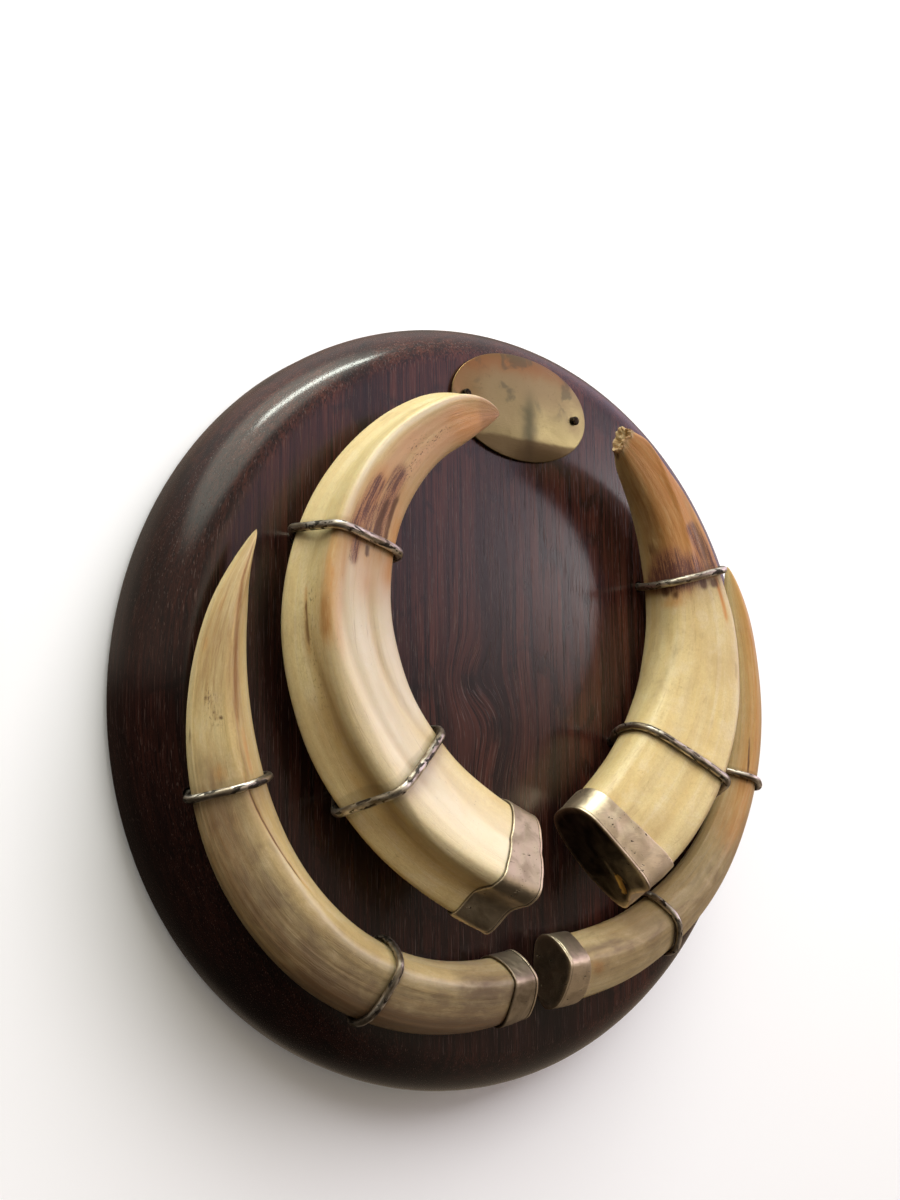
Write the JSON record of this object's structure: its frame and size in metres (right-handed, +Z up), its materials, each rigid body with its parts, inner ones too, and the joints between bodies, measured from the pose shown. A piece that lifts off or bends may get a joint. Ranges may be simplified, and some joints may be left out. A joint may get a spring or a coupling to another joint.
{
  "type": "mounted warthog tusks",
  "caption": "Curved warthog tusks with silver caps, wired down to a round dark hardwood wall plaque under a blank oval brass plate.",
  "frame": {"origin": "centre of the plaque's flat back, on the wall's plane", "axes": "+Z up as the plaque hangs, -Y out from the wall towards the room, +X to the viewer's right"},
  "size_m": [0.23, 0.0666, 0.23],
  "materials": {
    "dark_hardwood": "dark red-brown hardwood, waxed, with fine open pores along the grain",
    "tusk_ivory": "polished tusk dentine, cream to amber with lengthwise streaks, brown stains and specks",
    "aged_silver": "handmade silver sheet, rubbed bright with a warm tarnish and dark joints",
    "silver_wire": "drawn silver wire, slightly flattened by hammering, dark in the hollows",
    "plate_brass": "thin brass sheet, domed, unevenly tarnished, blank",
    "dark_pin": "small round-headed pin, dark with age"
  },
  "bodies": {
    "root": {"plaque": "dark_hardwood", "upper_tusk_left": "tusk_ivory", "upper_tusk_right": "tusk_ivory", "lower_tusk_left": "tusk_ivory", "lower_tusk_right": "tusk_ivory", "upper_cap_left": "aged_silver", "upper_cap_right": "aged_silver", "lower_cap_left": "aged_silver", "lower_cap_right": "aged_silver", "upper_tie_left_root": "silver_wire", "upper_tie_left_tip": "silver_wire", "upper_tie_right_root": "silver_wire", "upper_tie_right_tip": "silver_wire", "lower_tie_left_root": "silver_wire", "lower_tie_left_tip": "silver_wire", "lower_tie_right_root": "silver_wire", "lower_tie_right_tip": "silver_wire", "nameplate": "plate_brass", "nameplate_pin_left": "dark_pin", "nameplate_pin_right": "dark_pin"}
  },
  "joints": []
}
